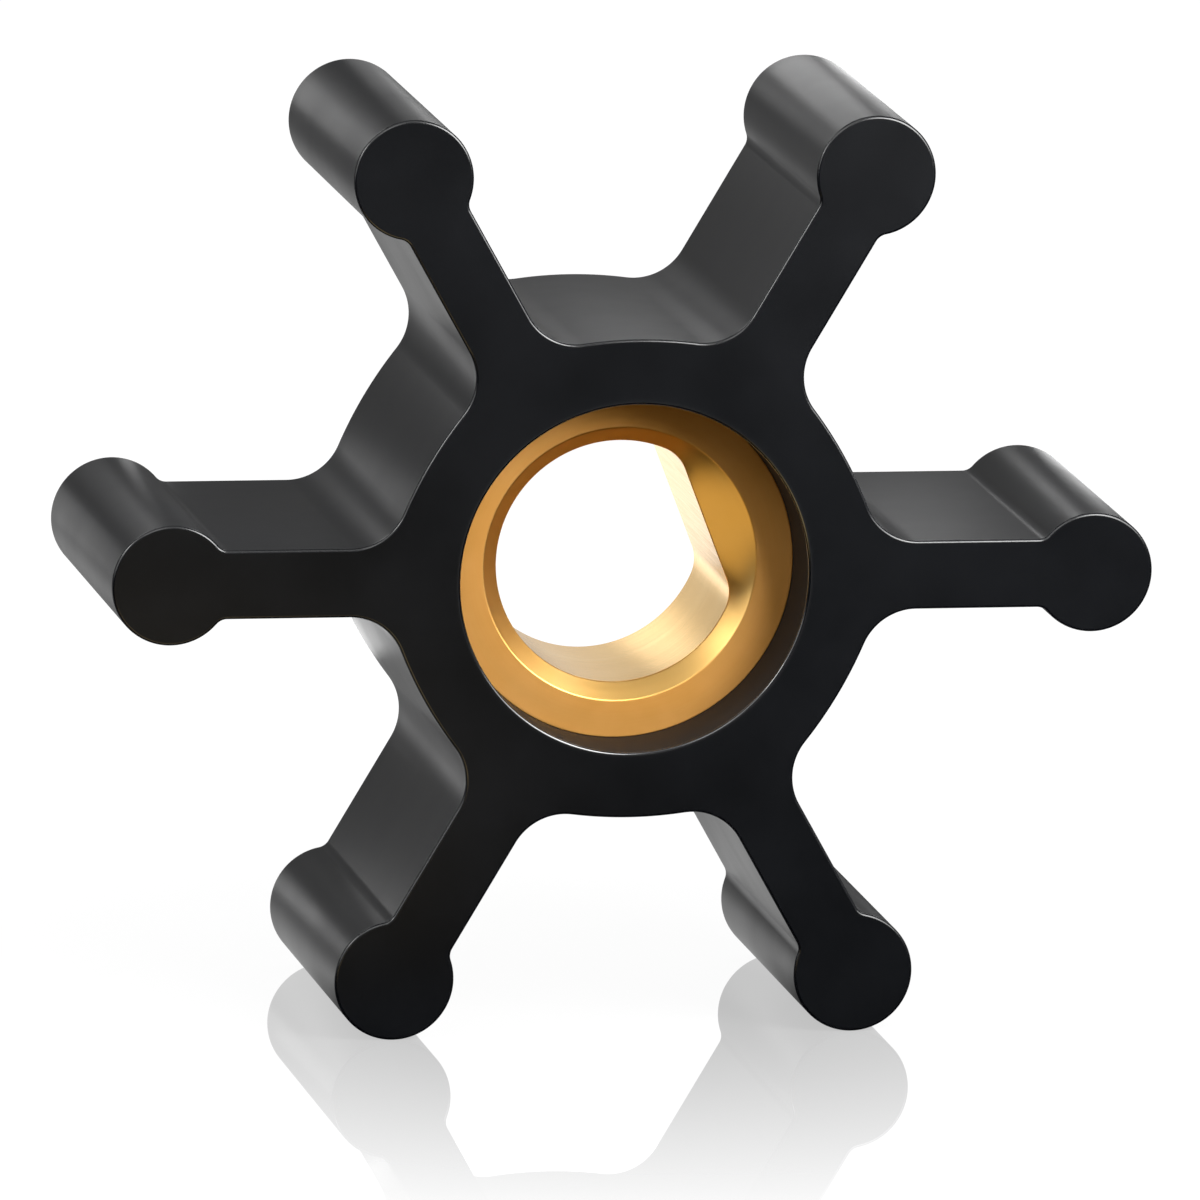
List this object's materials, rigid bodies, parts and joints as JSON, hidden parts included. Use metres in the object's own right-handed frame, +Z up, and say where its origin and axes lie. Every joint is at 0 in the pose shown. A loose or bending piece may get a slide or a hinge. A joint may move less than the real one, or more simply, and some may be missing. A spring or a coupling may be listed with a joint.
{
  "type": "flexible pump impeller",
  "caption": "Flexible rubber pump impeller: straight round-tipped blades round a hub moulded on a recessed brass insert whose shaft bore has one flat.",
  "frame": {"origin": "on the shaft axis, halfway between the two side faces", "axes": "+Y along the shaft axis, from the front face to the back face; +Z up, with the impeller standing on two blade tips; +X along one blade"},
  "size_m": [0.041, 0.0138, 0.0362],
  "materials": {
    "black_rubber": "smooth moulded, satin",
    "brass": "machined, bright"
  },
  "bodies": {
    "root": {"rubber_impeller": "black_rubber", "brass_insert": "brass"}
  },
  "joints": []
}
